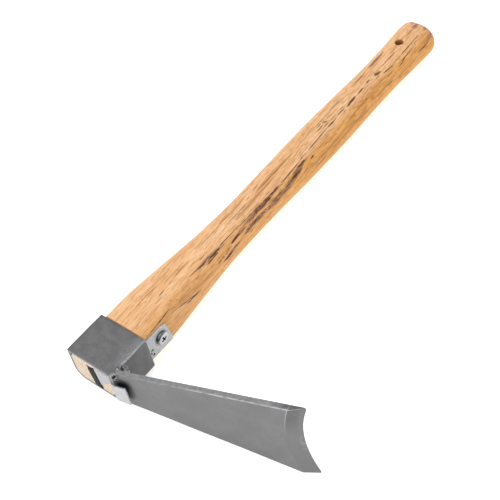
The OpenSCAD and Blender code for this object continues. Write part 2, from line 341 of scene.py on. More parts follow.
class Nodes:
    """Short names for the nodes of one material."""

    def __init__(self, name):
        self.material = bpy.data.materials.new(name)
        self.material.use_nodes = True
        self.tree = self.material.node_tree
        self.shader = self.tree.nodes["Principled BSDF"]
        # from the row frame in metres back to the tool's own axes in millimetres
        where = self.tree.nodes.new("ShaderNodeTexCoord")
        back = self.tree.nodes.new("ShaderNodeMapping")
        back.vector_type = "TEXTURE"
        back.inputs["Location"].default_value = TOOL.to_translation()
        back.inputs["Rotation"].default_value = TOOL.to_euler()
        back.inputs["Scale"].default_value = (MM, MM, MM)
        self.tree.links.new(where.outputs["Object"], back.inputs["Vector"])
        self.mm = back.outputs["Vector"]
        split = self.tree.nodes.new("ShaderNodeSeparateXYZ")
        self.tree.links.new(self.mm, split.inputs[0])
        self.x, self.y, self.z = split.outputs

    def put(self, value, socket):
        if isinstance(value, bpy.types.NodeSocket):
            self.tree.links.new(value, socket)
        elif isinstance(value, tuple) and len(value) == 3 and socket.type == "RGBA":
            socket.default_value = (*value, 1.0)
        else:
            socket.default_value = value

    def vector(self, operation, a, b):
        node = self.tree.nodes.new("ShaderNodeVectorMath")
        node.operation = operation
        self.put(a, node.inputs[0])
        self.put(b, node.inputs[1])
        return node.outputs[0]

    def math(self, operation, a, b=0.0):
        node = self.tree.nodes.new("ShaderNodeMath")
        node.operation = operation
        for value, socket in zip((a, b), node.inputs):
            self.put(value, socket)
        return node.outputs[0]

    def plus(self, a, b):
        return self.math("ADD", a, b)

    def minus(self, a, b):
        return self.math("SUBTRACT", a, b)

    def times(self, *values):
        made = values[0]
        for value in values[1:]:
            made = self.math("MULTIPLY", made, value)
        return made

    def most(self, *values):
        made = values[0]
        for value in values[1:]:
            made = self.math("MAXIMUM", made, value)
        return made

    def length(self, a, b):
        return self.math("SQRT", self.plus(self.times(a, a), self.times(b, b)))

    def scaled(self, vector, x, y, z):
        return self.vector("MULTIPLY", vector, (x, y, z))

    def stretched(self, x, y, z):
        """Coordinates in millimetres with each axis multiplied."""
        return self.scaled(self.mm, x, y, z)

    def noise(self, vector, scale, detail, rough):
        """Noise from 0 to 1 with features 1 / scale across."""
        node = self.tree.nodes.new("ShaderNodeTexNoise")
        self.put(vector, node.inputs["Vector"])
        node.inputs["Scale"].default_value = scale
        node.inputs["Detail"].default_value = detail
        node.inputs["Roughness"].default_value = rough
        return node.outputs["Fac"]

    def noise_colour(self, vector):
        """Three independent noise values, centred on zero."""
        node = self.tree.nodes.new("ShaderNodeTexNoise")
        self.put(vector, node.inputs["Vector"])
        node.inputs["Scale"].default_value = 1.0
        node.inputs["Detail"].default_value = 2.0
        return self.vector("SUBTRACT", node.outputs["Color"], (0.5, 0.5, 0.5))

    def cells(self, vector, scale):
        node = self.tree.nodes.new("ShaderNodeTexVoronoi")
        self.put(vector, node.inputs["Vector"])
        node.inputs["Scale"].default_value = scale
        return node.outputs["Distance"]

    def turned(self, centre, angle):
        """Coordinates in millimetres turned about a line parallel to the handle."""
        node = self.tree.nodes.new("ShaderNodeVectorRotate")
        node.rotation_type = "Y_AXIS"
        self.put(self.mm, node.inputs["Vector"])
        self.put(centre, node.inputs["Center"])
        self.put(angle, node.inputs["Angle"])
        return node.outputs[0]

    def spread(self, value, low, high, out_low=0.0, out_high=1.0):
        """Maps low..high smoothly to out_low..out_high, held at both ends."""
        node = self.tree.nodes.new("ShaderNodeMapRange")
        node.interpolation_type = "SMOOTHSTEP"
        for part, socket in zip((value, low, high, out_low, out_high), node.inputs):
            self.put(part, socket)
        return node.outputs[0]

    def window(self, value, low, high, soft):
        """1 between low and high, fading to 0 over soft on both sides."""
        rise = self.spread(value, low - soft, low + soft)
        fall = self.spread(value, high - soft, high + soft, 1.0, 0.0)
        return self.times(rise, fall)

    def spot(self, along, centre_along, half_along, across, centre_across, half_across,
             lean=0.0, core=0.0):
        """1 inside a leaning ellipse on two coordinates, fading to 0 between its core and its rim."""
        a = self.minus(along, centre_along)
        b = self.minus(self.minus(across, centre_across), self.times(a, lean))
        a = self.times(a, 1 / half_along)
        b = self.times(b, 1 / half_across)
        return self.spread(self.plus(self.times(a, a), self.times(b, b)), core, 1.0, 1.0, 0.0)

    def marks(self, table, around, core=0.0):
        """1 inside any of a table's marks on the handle."""
        return self.most(*(self.spot(self.y, y, long, around, angle, wide, lean, core)
                           for y, angle, long, wide, lean in table))

    def mix(self, factor, a, b):
        node = self.tree.nodes.new("ShaderNodeMix")
        node.data_type = "RGBA"
        colours = [s for s in node.inputs if s.type == "RGBA"]
        self.put(factor, node.inputs[0])
        self.put(a, colours[0])
        self.put(b, colours[1])
        return [s for s in node.outputs if s.type == "RGBA"][0]

    def bump(self, height, distance, strength):
        node = self.tree.nodes.new("ShaderNodeBump")
        node.inputs["Strength"].default_value = strength
        node.inputs["Distance"].default_value = distance * MM
        self.put(height, node.inputs["Height"])
        return node.outputs[0]

    def finish(self, colour, roughness, normal, metallic=0.0, specular=0.5):
        self.put(colour, self.shader.inputs["Base Color"])
        self.put(roughness, self.shader.inputs["Roughness"])
        self.put(normal, self.shader.inputs["Normal"])
        self.put(metallic, self.shader.inputs["Metallic"])
        self.put(specular, self.shader.inputs["Specular IOR Level"])
        return self.material


# Marks on the handle: height, angle round the handle in degrees from the blade side towards
# the upper side, half length in mm, half width in degrees, lean in degrees per mm
BLOTCHES = [
    (168, 25, 20, 9, 0.10), (194, 25, 24, 10, 0.15), (212, 32, 15, 9, 0.22), (137, 14, 14, 6, 0.25),
    (118, 49, 20, 7, -0.08), (148, 35, 13, 6, 0.10), (222, 42, 11, 6, 0.25), (180, 43, 36, 7, 0.12),
    (346, 109, 13, 9, 0.1),
]
STREAKS = [
    (168, 49, 32, 1.6, 0.0), (213, 50, 22, 1.8, 0.24), (250, 59, 30, 1.8, 0.20), (226, 45, 8, 3.4, 0.3),
    (238, 36.5, 4, 3.0, 0.3), (262, 76, 5, 1.8, 0.3), (268, 79, 3, 3.5, -1.2), (270, 62, 6, 3.0, 0.1),
    (284, 66, 8, 2.4, 0.1), (298, 66, 8, 5.0, 0.35), (311, 68, 5, 3.2, 0.2), (323, 71, 3, 2.6, 0.2),
    (334, 68, 5, 7.0, -0.2), (352, 75, 13, 1.8, 0.12), (343, 53, 6, 3.0, -0.1), (370, 56, 26, 2.0, 0.13),
    (342, 39, 5, 2.2, 0.0), (364, 42, 12, 1.9, 0.2), (358, 36, 6, 1.8, 0.7), (73, 74, 4, 1.8, 0.1),
    (204, 84, 34, 1.2, 0.10), (272, 92, 36, 1.1, 0.10), (288, 98, 14, 1.2, 0.25), (322, 102, 9, 2.4, 0.0),
    (54, 35, 18, 1.4, 0.25), (83, 16, 22, 1.8, -0.75), (88, 8, 10, 3.0, -0.3), (105, 51, 12, 1.8, -0.15),
    (123, 47, 9, 2.0, 0.0), (119, 42, 9, 2.2, 0.1), (140, 51, 14, 1.6, -0.05), (144, 33, 8, 3.0, 0.2),
    (124, 22, 7, 2.6, 0.3), (132, 12, 9, 3.0, 0.3), (190, 46, 10, 2.2, 0.1), (216, 34, 9, 3.4, 0.3),
    (130, 92, 18, 1.1, 0.1), (160, 79, 14, 1.0, 0.1), (65, 101, 16, 1.1, 0.1), (243, 6, 10, 1.8, 0.2),
    (305, 9, 12, 1.6, 0.2), (337, 16, 6, 2.2, 0.1), (385, 22, 10, 2.0, 0.3),
]
SHADES = [
    (205, 86, 26, 8, 0.1), (97, 84, 12, 9, 0.0), (310, 38, 44, 6, 0.2), (365, 14, 26, 6, 0.2),
    (330, 20, 24, 6, 0.2), (262, 20, 30, 6, 0.25), (240, 20, 20, 6, 0.2), (280, 10, 30, 5, 0.2),
    (95, 22, 34, 8, -0.4), (180, 74, 30, 6, 0.1), (160, 100, 20, 8, 0.1), (388, 30, 14, 12, 0.3),
]
KNOB_STAINS = [(394, 86, 7, 9, 0.2), (397, 58, 5, 9, 0.0), (396, 34, 7, 9, 0.3), (399, 105, 6, 16, 0.0)]
PALE_FLANK = [(290, 66, 110, 13, 0.15)]
FLECKED = [(220, 50, 260, 60, 0.15)]

# Degrees round the handle to the middle of its pale side, and how far the grain turns per mm
PALE_SIDE = 100.0
GRAIN_TURN = math.radians(0.15)

# Painted shadows of the gaps beside the end grain: centre x, half size, centre z, half size
END_GAP_SHADOWS = [(-19.2, 2.2, 11.9, 2.4), (16.9, 2.4, -12.4, 1.5)]

# The hanging hole's darker lining: radius and half length
LINING_RADIUS, LINING_HALF = 3.9, 14.0


def wood_lines(n):
    """Coordinates that follow the grain, turned along the handle and swaying a little."""
    lines = n.turned((HANDLE_X, 0, 0), n.times(n.y, GRAIN_TURN))
    sway = n.scaled(n.noise_colour(n.scaled(lines, 0.10, 0.022, 0.10)), 7, 0, 7)
    return n.vector("ADD", lines, sway)


def end_grain(n):
    """The sawn end in the eye: growth rings, speckle, and painted shadow in the gaps round the wood and
    beside the wedge.
    """
    growth = n.noise(n.stretched(0.9, 0.3, 0.12), 1.0, 3, 0.6)
    speck = n.noise(n.stretched(1.3, 0.3, 0.5), 1.0, 3, 0.6)
    end = n.mix(n.spread(growth, 0.48, 0.62, 0.0, 0.45), END_GRAIN, END_GRAIN_DARK)
    end = n.mix(n.spread(speck, 0.52, 0.68, 0.0, 0.7), end, END_GRAIN_DARK)
    from_wedge = n.plus(n.minus(n.x, WEDGE_X), n.times(n.z, math.tan(WEDGE_TURN)))
    # painted shadow in the kerf's gap beside the wedge and in the gaps round the wood
    wedge_gap_shadow = n.times(n.window(from_wedge, -WEDGE_HALF - 0.8, WEDGE_HALF + 0.8, 0.2),
                     n.spread(n.z, WEDGE_TOP + 1.2, WEDGE_TOP + 0.6))
    gaps = n.most(*(n.spot(n.x, x, half_x, n.z, z, half_z, core=0.5) for x, half_x, z, half_z in END_GAP_SHADOWS))
    return n.mix(n.times(n.most(wedge_gap_shadow, gaps), 0.9), end, SOOT_AND_SHADOW_BLACK)


def wood_material():
    """Oiled oak: fine grain, an orange lower side, stains, splits and a sawn end."""
    n = Nodes("oak_handle")
    off_axis = n.minus(n.x, HANDLE_X)
    around = n.times(n.math("ARCTAN2", n.z, off_axis), 180 / math.pi)
    lines = wood_lines(n)
    broad = n.noise(n.scaled(lines, 0.20, 0.010, 0.20), 1.0, 2, 0.5)
    rings = n.noise(n.scaled(lines, 0.85, 0.013, 0.85), 1.0, 3, 0.6)
    fibre = n.noise(n.scaled(lines, 2.2, 0.06, 2.2), 1.0, 3, 0.6)
    pores = n.noise(n.scaled(lines, 1.9, 0.11, 1.9), 1.0, 2, 0.5)
    breaks = n.noise(n.scaled(lines, 1.05, 0.17, 1.05), 1.0, 4, 0.7)
    flecks = n.noise(n.scaled(lines, 0.8, 0.085, 0.8), 1.0, 3, 0.7)

    # pale towards the upper side, orange below and at the sides
    tone = n.mix(n.spread(broad, 0.35, 0.65), WOOD_LIGHT, WOOD_MID)
    facing = n.math("COSINE", n.times(n.minus(around, PALE_SIDE), math.pi / 180))
    low = n.times(n.spread(facing, 0.90, 0.41), n.spread(n.y, 60.0, 250.0, 0.55, 1.0))
    tone = n.mix(n.times(low, 0.92), tone, WOOD_ORANGE)
    tone = n.mix(n.times(n.marks(PALE_FLANK, around, 0.35), 0.5), tone, WOOD_PALE)

    # grain, pores and flecks
    tone = n.mix(n.spread(rings, 0.47, 0.64, 0.0, 0.5), tone, WOOD_LINE)
    tone = n.mix(n.spread(fibre, 0.50, 0.68, 0.0, 0.5), tone, WOOD_LINE)
    tone = n.mix(n.spread(fibre, 0.46, 0.33, 0.0, 0.6), tone, WOOD_PALE)
    open_pores = n.times(n.spread(pores, 0.57, 0.66, 0.0, 0.6), n.spread(n.y, 60.0, 170.0, 0.55, 1.0))
    tone = n.mix(open_pores, tone, WOOD_PORE)
    crowd = n.spread(n.marks(FLECKED, around), 0.0, 0.8, 0.25, 0.8)
    tone = n.mix(n.times(n.spread(flecks, 0.62, 0.70), crowd), tone, WOOD_PORE)
    shade = n.spread(n.marks(SHADES, around), 0.0, 0.7)
    tone = n.mix(n.times(shade, n.spread(rings, 0.36, 0.56, 0.1, 0.75)), tone, WOOD_LINE)

    # torn stains with splits in them, and dark streaks
    blotch = n.marks(BLOTCHES, around)
    torn = n.spread(n.plus(breaks, n.times(blotch, 0.18)), 0.57, 0.69)
    stain = n.times(n.spread(blotch, 0.0, 0.4), torn, n.spread(fibre, 0.38, 0.54, 0.3, 1.0))
    tone = n.mix(n.times(blotch, n.spread(fibre, 0.4, 0.6, 0.3, 0.75)), tone, WOOD_BRUISE)
    tone = n.mix(n.times(stain, 0.9), tone, WOOD_STAIN)
    splits = n.spread(n.plus(pores, n.times(blotch, 0.07)), 0.59, 0.65)
    tone = n.mix(n.times(splits, n.spread(blotch, 0.0, 0.3), 0.8), tone, WOOD_DARK)
    streak = n.marks(STREAKS, around, 0.1)
    ragged = n.spread(n.plus(breaks, n.times(streak, 0.3)), 0.62, 0.74)
    streak = n.times(n.spread(streak, 0.0, 0.3), ragged)
    tone = n.mix(n.times(streak, 0.9), tone, WOOD_DARK)

    # the knob: bruises, then its rounded end
    bruise = n.marks(KNOB_STAINS, around)
    tone = n.mix(n.times(bruise, n.spread(breaks, 0.35, 0.6, 0.25, 0.95)), tone, WOOD_BRUISE)
    past_knob = n.spread(n.y, HANDLE_LENGTH - 8, HANDLE_LENGTH - 5)
    cap = n.times(past_knob, n.spread(n.length(off_axis, n.z), 12.5, 9.5))
    rays = n.noise(n.stretched(0.5, 0.2, 1.6), 1.0, 3, 0.6)
    tone = n.mix(cap, tone, n.mix(n.spread(rays, 0.4, 0.62), WOOD_ORANGE, WOOD_LINE))

    # the sawn end and the hole's lining
    tone = n.mix(n.spread(n.y, 0.9, 0.5), tone, end_grain(n))
    inside = n.times(n.spot(n.y, HOLE_Y, LINING_RADIUS, n.x, HANDLE_X, LINING_RADIUS, core=0.7),
                     n.window(n.z, -LINING_HALF, LINING_HALF, 0.4))
    tone = n.mix(n.times(inside, 0.8), tone, HOLE_LINING)

    height = n.minus(n.plus(rings, fibre), n.plus(streak, stain))
    return n.finish(tone, n.spread(fibre, 0.3, 0.7, 0.5, 0.65), n.bump(height, 0.10, 0.6), specular=0.15)


def collar_material():
    """Ground mild steel: fine brushing, a worn ridge beside the blade with a painted highlight along it,
    and scratched ground there.
    """
    n = Nodes("collar_steel")
    mottle = n.noise(n.mm, 0.13, 3, 0.6)
    brushed = n.noise(n.stretched(0.5, 2.4, 2.4), 1.0, 3, 0.6)
    tone = n.mix(n.spread(mottle, 0.35, 0.65), COLLAR_DARK, COLLAR_LIGHT)
    tone = n.mix(n.spread(brushed, 0.5, 0.75, 0.0, 0.35), tone, COLLAR_WORN)

    # the ridge between the upper wall and the wall that carries the blade
    from_ridge = n.minus(HALF_DEPTH, n.x)
    on_top = n.spread(n.z, HALF_WIDTH - 1.3, HALF_WIDTH - 0.5)
    scratch = n.noise(n.stretched(0.9, 2.6, 1.0), 1.0, 3, 0.7)
    near = n.times(on_top, n.spread(from_ridge, 11.0, 0.5), n.spread(n.y, 4.0, 12.0))
    tone = n.mix(n.times(near, n.spread(scratch, 0.42, 0.58, 0.0, 0.9)), tone, COLLAR_WORN)
    patchy = n.noise(n.stretched(0.3, 0.35, 0.3), 1.0, 3, 0.6)
    # worn bare metal along the ridge, with a painted highlight on it
    ridge = n.times(n.spread(n.z, HALF_WIDTH - 0.9, HALF_WIDTH - 0.5), n.spread(from_ridge, 1.5, 0.5),
                    n.spread(n.y, 6.0, 12.0), n.spread(n.y, 34.0, 24.0, 0.5, 1.0),
                    n.spread(patchy, 0.36, 0.52, 0.2, 1.0))
    tone = n.mix(n.times(ridge, 0.9), tone, COLLAR_BRIGHT)
    at_rim = n.spread(n.y, EYE_HEIGHT - 1.6, EYE_HEIGHT - 0.8)
    # a knocked, worn corner at the rim near the ridge, with a painted highlight
    knock_and_highlight = n.times(on_top, n.spread(from_ridge, 6.0, 2.0), at_rim)
    tone = n.mix(n.times(knock_and_highlight, n.spread(patchy, 0.35, 0.5)), tone, COLLAR_BRIGHT)

    # ground faces of the rims
    rim = n.most(n.spread(n.y, 0.35, 0.15), n.spread(n.y, EYE_HEIGHT - 0.35, EYE_HEIGHT - 0.15))
    tone = n.mix(n.times(rim, 0.6), tone, COLLAR_WORN)

    # scale and soot from the welding torch
    burn = n.times(n.spot(n.y, 7.0, 13.0, n.z, 12.0, 16.0), n.spread(n.x, 12.0, 20.0),
                   n.spread(mottle, 0.3, 0.6))
    tone = n.mix(n.times(burn, 0.2), tone, SOOT_AND_SHADE)
    height = n.plus(brushed, n.times(near, scratch))
    return n.finish(tone, n.spread(brushed, 0.3, 0.7, 0.46, 0.6), n.bump(height, 0.05, 0.5), metallic=0.6)


def blade_material():
    """Rolled plate with forge scale on its sides, a ground bevel with painted light and shade, painted
    highlights along its edges, and torch soot with painted shadow at the root.
    """
    n = Nodes("blade_steel")
    lift = n.minus(n.x, HALF_DEPTH)
    rise = n.minus(n.y, BLADE_STEP)
    along = n.plus(n.times(lift, math.cos(LEAN)), n.times(rise, math.sin(LEAN)))
    depth = n.minus(n.times(rise, math.cos(LEAN)), n.times(lift, math.sin(LEAN)))
    from_side = n.minus(n.plus(n.times(along, FLARE), ROOT_HALF), n.math("ABSOLUTE", n.z))
    mottle = n.noise(n.mm, 0.06, 3, 0.55)
    fine = n.noise(n.mm, 1.1, 3, 0.6)
    tone = n.mix(n.spread(mottle, 0.35, 0.65), BLADE_DARK, BLADE_LIGHT)
    tone = n.mix(n.spread(fine, 0.55, 0.75, 0.0, 0.3), tone, BLADE_LIGHT)

    # sheared sides
    scale = n.noise(n.stretched(0.28, 0.28, 0.8), 1.0, 4, 0.65)
    side = n.spread(from_side, 0.25, 0.1)
    face = n.minus(1.0, side)
    scaly = n.times(n.spread(along, 118.0, 137.0), n.spread(scale, 0.3, 0.6, 0.5, 0.95))
    sheared = n.mix(n.spread(scale, 0.38, 0.6), SIDE_LIGHT, SIDE_DARK)
    tone = n.mix(side, tone, n.mix(scaly, sheared, SIDE_SCALE))

    # ground bevel, measured from the centre of the crescent
    from_edge = n.minus(n.length(n.minus(BLADE_LENGTH + CRESCENT, along), n.z), CRESCENT)
    bevel = n.spread(from_edge, BEVEL_LENGTH + 0.25, BEVEL_LENGTH - 0.25)
    grinding = n.noise(n.stretched(0.3, 0.3, 3.0), 1.0, 3, 0.6)
    # painted light and shade on the bevel: lighter low down to offset the shading of its slope, darker
    # towards its upper end
    upper = n.times(n.spread(n.z, 2.0, 30.0), n.spread(from_edge, 1.0, 6.0, 0.25, 1.0))
    ground = n.mix(upper, BEVEL_LIGHT, BEVEL_DARK)
    ground = n.mix(n.spread(grinding, 0.4, 0.7, 0.0, 0.3), ground, BEVEL_DARK)
    tone = n.mix(n.times(bevel, face, 0.9), tone, ground)
    rubbed = n.times(n.spot(n.z, -5.0, 11.0, from_edge, 1.5, 3.0), n.spread(scale, 0.46, 0.6), bevel)
    tone = n.mix(n.times(rubbed, 0.28), tone, BLADE_BRIGHT)
    # a painted highlight along the bevel's shoulder, fading downwards
    shoulder = n.times(n.window(from_edge, BEVEL_LENGTH - 0.3, BEVEL_LENGTH + 0.3, 0.3),
                       n.spread(n.z, 2.0, 36.0, 0.0, 0.5), face)
    tone = n.mix(shoulder, tone, BLADE_BRIGHT)

    # a broken painted highlight along the outer face's upper edge
    broken = n.noise(n.stretched(0.12, 0.12, 0.1), 1.0, 3, 0.6)
    edge = n.times(n.spread(from_side, 0.75, 0.3), n.most(n.spread(depth, 0.9, 0.5), n.times(bevel, face)),
                   n.spread(n.z, 0.0, 5.0), n.spread(broken, 0.40, 0.56, 0.2, 1.0),
                   n.spread(along, 20.0, 85.0, 0.15, 1.0))
    tone = n.mix(n.times(edge, 0.75), tone, BLADE_BRIGHT)

    # soot from the torch at the root, with painted shadow under the strap's lip
    outer = n.spread(depth, 1.2, 0.6)
    soot = n.times(n.spot(along, 6.5, 9.0, n.z, 2.0, 16.0), outer, n.spread(n.z, 15.5, 11.0))
    core = n.times(n.spot(along, 5.5, 5.5, n.z, 5.0, 9.0, -0.15), outer)
    tone = n.mix(n.times(soot, n.spread(mottle, 0.3, 0.7, 0.6, 0.85)), tone, SOOT_AND_SHADE)
    tone = n.mix(n.times(core, 0.85), tone, SOOT_AND_SHADOW_BLACK)
    height = n.plus(fine, n.times(side, scale))
    return n.finish(tone, n.spread(fine, 0.3, 0.7, 0.46, 0.58), n.bump(height, 0.05, 0.4), metallic=0.6)


def weld_material():
    """Shiny weld scale with one pit painted black as its shade."""
    n = Nodes("weld_steel")
    scale = n.noise(n.mm, 0.55, 4, 0.65)
    tone = n.mix(n.spread(scale, 0.36, 0.62), WELD_DARK, WELD_LIGHT)
    # the pit is painted black as its shade
    pit = n.spot(n.x, 24.2, 1.3, n.z, 16.1, 1.1, core=0.3)
    tone = n.mix(n.times(pit, n.spread(n.y, 2.6, 1.4)), tone, SOOT_AND_SHADOW_BLACK)
    return n.finish(tone, n.spread(scale, 0.3, 0.7, 0.28, 0.45), n.bump(scale, 0.25, 0.6), metallic=0.75)


def zinc_material():
    """Galvanised sheet: soft spangle and dark specks, painted shadows in a few small nicks, and painted
    shade round the screw and on the shim's head.
    """
    n = Nodes("galvanised_zinc")
    spangle = n.cells(n.mm, 0.28)
    cloud = n.noise(n.mm, 0.35, 3, 0.6)
    grit = n.noise(n.mm, 1.15, 3, 0.65)
    tone = n.mix(n.spread(cloud, 0.35, 0.65), ZINC_DARK, ZINC_LIGHT)
    tone = n.mix(n.spread(spangle, 0.2, 0.9, 0.0, 0.3), tone, ZINC_LIGHT)
    tab = n.spread(n.y, EYE_HEIGHT - 3, EYE_HEIGHT + 3, 0.75, 1.0)
    tone = n.mix(n.times(n.spread(grit, 0.56, 0.72, 0.0, 0.6), tab), tone, ZINC_GRIME_AND_SHADE)
    # painted shadows in small nicks just above the eye
    nick_shadows = n.most(*(n.spot(n.y, y, long, n.z, z, wide, core=0.4) for y, z, long, wide in NICK_SHADOWS))
    tone = n.mix(n.times(nick_shadows, n.spread(n.x, WOOD_FRONT, WOOD_FRONT + 0.8)), tone, SOOT_AND_SHADOW_BLACK)
    # painted shade round the screw and on the shim's head
    around_screw = n.spot(n.y, SCREW_Y, 7.2, n.z, SCREW_Z, 7.2, core=0.72)
    tone = n.mix(n.times(around_screw, n.spread(n.y, EYE_HEIGHT, EYE_HEIGHT + 2), 0.4), tone, ZINC_SHADE)
    shim_head = n.times(n.spread(n.y, 2.0, 1.0), n.spread(n.x, WOOD_FRONT - 0.3, WOOD_FRONT - 1.0))
    tone = n.mix(n.times(shim_head, n.spread(cloud, 0.3, 0.7, 0.2, 0.45)), tone, ZINC_SHADE)
    return n.finish(tone, n.spread(cloud, 0.3, 0.7, 0.34, 0.5), n.bump(grit, 0.06, 0.5), metallic=0.55)


def wedge_material():
    """Black iron, a little worn along the middle of its face."""
    n = Nodes("wedge_iron")
    rust = n.noise(n.mm, 0.7, 4, 0.6)
    tone = n.mix(n.spread(rust, 0.35, 0.65), WEDGE_DARK, WEDGE_LIGHT)
    across = n.plus(n.minus(n.x, WEDGE_X), n.times(n.z, math.tan(WEDGE_TURN)))
    middle = n.times(n.spot(n.z, 1.0, 12.0, across, 0.2, 1.9, core=0.2), n.spread(rust, 0.3, 0.6))
    tone = n.mix(n.times(middle, 0.6), tone, WEDGE_WORN)
    return n.finish(tone, n.spread(rust, 0.3, 0.7, 0.55, 0.75), n.bump(rust, 0.15, 0.5), specular=0.1)


def screw_material():
    """Bright plating, painted shade over the head except a lit spot, and painted shade in the recess."""
    n = Nodes("screw_zinc")
    fine = n.noise(n.mm, 1.6, 3, 0.6)
    tone = n.mix(n.spread(fine, 0.35, 0.65), SCREW_DARK, SCREW_LIGHT)
    # painted shade over the head except a lit spot
    lit = n.spot(n.y, SCREW_Y + 0.9, 6.2, n.z, SCREW_Z - 0.8, 6.2, core=0.3)
    tone = n.mix(n.spread(lit, 0.75, 0.05, 0.0, 0.75), tone, ZINC_GRIME_AND_SHADE)
    # painted shade in the cross recess
    deep = n.spread(n.x, SCREW_SEAT + 2.3, SCREW_SEAT + 1.8)
    middle = n.spot(n.y, SCREW_Y, 3.6, n.z, SCREW_Z, 3.6, core=0.6)
    tone = n.mix(n.times(deep, middle), tone, SOOT_AND_SHADOW_BLACK)
    return n.finish(tone, n.spread(fine, 0.3, 0.7, 0.18, 0.3), n.bump(fine, 0.03, 0.4), metallic=1.0)


# ---------------------------------------------------------------- pieces

def hand_hold(y, radius):
    """One row of STATIONS in the part of the handle that the hand holds."""
    return [y, radius * OVAL, radius / OVAL, radius / OVAL]


def flank(t, ease, corner):
    """One row of STATIONS between the eye and the neck."""
    return [lerp(EYE_HEIGHT, NECK_Y, t), lerp(SWELL_DEPTH, NECK * OVAL, ease),
            lerp(SWELL_WIDTH, NECK / OVAL, ease), corner]


# Height, half depth, half width and corner radius of the handle
STATIONS = [flank(0.02, 0, 6), flank(0.21, 0, 7), flank(0.46, 0.5, 9.5), flank(0.70, 0.86, 13),
            hand_hold(NECK_Y, NECK), hand_hold(BELLY_Y, BELLY), hand_hold(WAIST_Y, WAIST),
            hand_hold(KNOB_Y, KNOB)]


def station_at(y):
    """The row of STATIONS at height y, by a smooth curve through the ones above and below."""
    table = np.array(STATIONS, float)
    last = len(table) - 1
    i = int(np.clip(np.searchsorted(table[:, 0], y) - 1, 0, last - 1))

    def slope(k):
        above, below = table[min(k + 1, last)], table[max(k - 1, 0)]
        return (above - below) / (above[0] - below[0])

    h = table[i + 1][0] - table[i][0]
    t = (y - table[i][0]) / h
    return (table[i] * (1 + 2 * t) * (1 - t) ** 2 + slope(i) * h * t * (1 - t) ** 2
            + table[i + 1] * t * t * (3 - 2 * t) - slope(i + 1) * h * t * t * (1 - t))


def handle_ring(y, station, inset=0.0):
    a, b = station[1] - inset, station[2] - inset
    r = min(station[3], b) - inset / 2
    return [(x, y, z) for x, z in rounded_rect(HANDLE_X - a, HANDLE_X + a, -b, b, [r] * 4)]


def eye_ring(y, shrink=1.0):
    return [(x * shrink, y, z * shrink)
            for x, z in rounded_rect(-EYE_DEPTH, WOOD_FRONT, -EYE_WIDTH, EYE_WIDTH, TENON_CORNERS)]


def uneven(ring):
    """Moves a ring's points in and out a little, as a spokeshave leaves them."""
    moved = []
    for x, y, z in ring:
        k = 1 + HEWN * wobble(x, y * 0.35, z, HEWN_SIZE) / HEWN_RADIUS
        moved.append((HANDLE_X + (x - HANDLE_X) * k, y, z * k))
    return moved


def tipped(ring, slant):
    """Leans a ring back on the side away from the blade."""
    return [(x, y + slant * (SLANT_X * (x - HANDLE_X) - SLANT_Z * z + DOME_INSET - KNOB), z)
            for x, y, z in ring]


def wood_handle():
    rings = [eye_ring(END_GRAIN_Y, s) for s in (0.25, 0.6, 0.9, 1.0)]
    rings += [eye_ring(lerp(END_GRAIN_Y, EYE_HEIGHT + 0.2, k / 6)) for k in range(1, 7)]
    for k in range(6):
        a = math.radians(18 * k)
        y = EYE_HEIGHT + 0.3 + SHOULDER_RISE * (1 - math.cos(a))
        rings.append(handle_ring(y, STATIONS[0], SHOULDER_INSET * (1 - math.sin(a))))
    for y in np.arange(EYE_HEIGHT + 2.5, KNOB_Y - 0.5, 2.0):
        rings.append(uneven(handle_ring(y, station_at(max(y, STATIONS[0][0])))))
    for k in range(13):
        a = math.radians(90 * k / 12)
        rise, shrink = math.sin(a) ** DOME_SQUARE, max(math.cos(a), 0.0) ** DOME_SQUARE
        ring = handle_ring(DOME_TOP - DOME_LENGTH * (1 - rise), STATIONS[-1], DOME_INSET * (1 - shrink))
        rings.append(tipped(uneven(ring), END_SLANT * k / 12))
    last = rings[-1]
    centre = np.mean(last, axis=0)
    for s in (0.8, 0.5, 0.2):
        crown = centre + (0, DOME_CROWN * (1 - s), 0)
        rings.append([tuple(lerp(crown, np.array(p), s)) for p in last])
    handle = make_object("handle_wood", *loft(rings))
    cut(handle, kerf_cutter())
    cut(handle, hole_cutter())
    return dress(handle, "handle", wood_material(), 45)


def block(name, corners_low, corners_high):
    """A six-sided block from its four low and four high corners."""
    faces = [(0, 1, 2, 3), (4, 5, 6, 7)] + [(i, (i + 1) % 4, 4 + (i + 1) % 4, 4 + i) for i in range(4)]
    return make_object(name, [*corners_low, *corners_high], faces)


def wedge_outline(half, grow=0.0):
    """(x, z) corners of the wedge at one depth, the upper end raked."""
    corners = []
    for side in (-1, 1):
        for z in (-EYE_WIDTH - 2, EYE_WIDTH + 2):
            x = WEDGE_X + side * (half + grow) - z * math.tan(WEDGE_TURN)
            top = WEDGE_TOP + grow + WEDGE_RAKE * (x - WEDGE_X)
            corners.append((x, min(z, top)) if z > 0 else (x, z))
    low_left, high_left, low_right, high_right = corners
    return [low_left, low_right, high_right, high_left]


def kerf_cutter():
    """The slot that the wedge is driven into, a little wider than the wedge."""
    mouth, floor = wedge_outline(WEDGE_HALF, 0.5), wedge_outline(WEDGE_HALF - 0.3, 0.2)
    return block("kerf", [(x, -1, z) for x, z in mouth], [(x, KERF_DEPTH, z) for x, z in floor])


def hole_cutter():
    """A round cutter whose mouths flare where the hole meets the surface."""
    rings = []
    for z, r in [(-z, r) for z, r in HOLE_FLARE] + HOLE_FLARE[::-1]:
        rings.append([(HANDLE_X + r * math.cos(a), HOLE_Y + r * math.sin(a), z)
                      for a in np.linspace(0, 2 * math.pi, 48, endpoint=False)])
    return make_object("hole", *loft(rings))


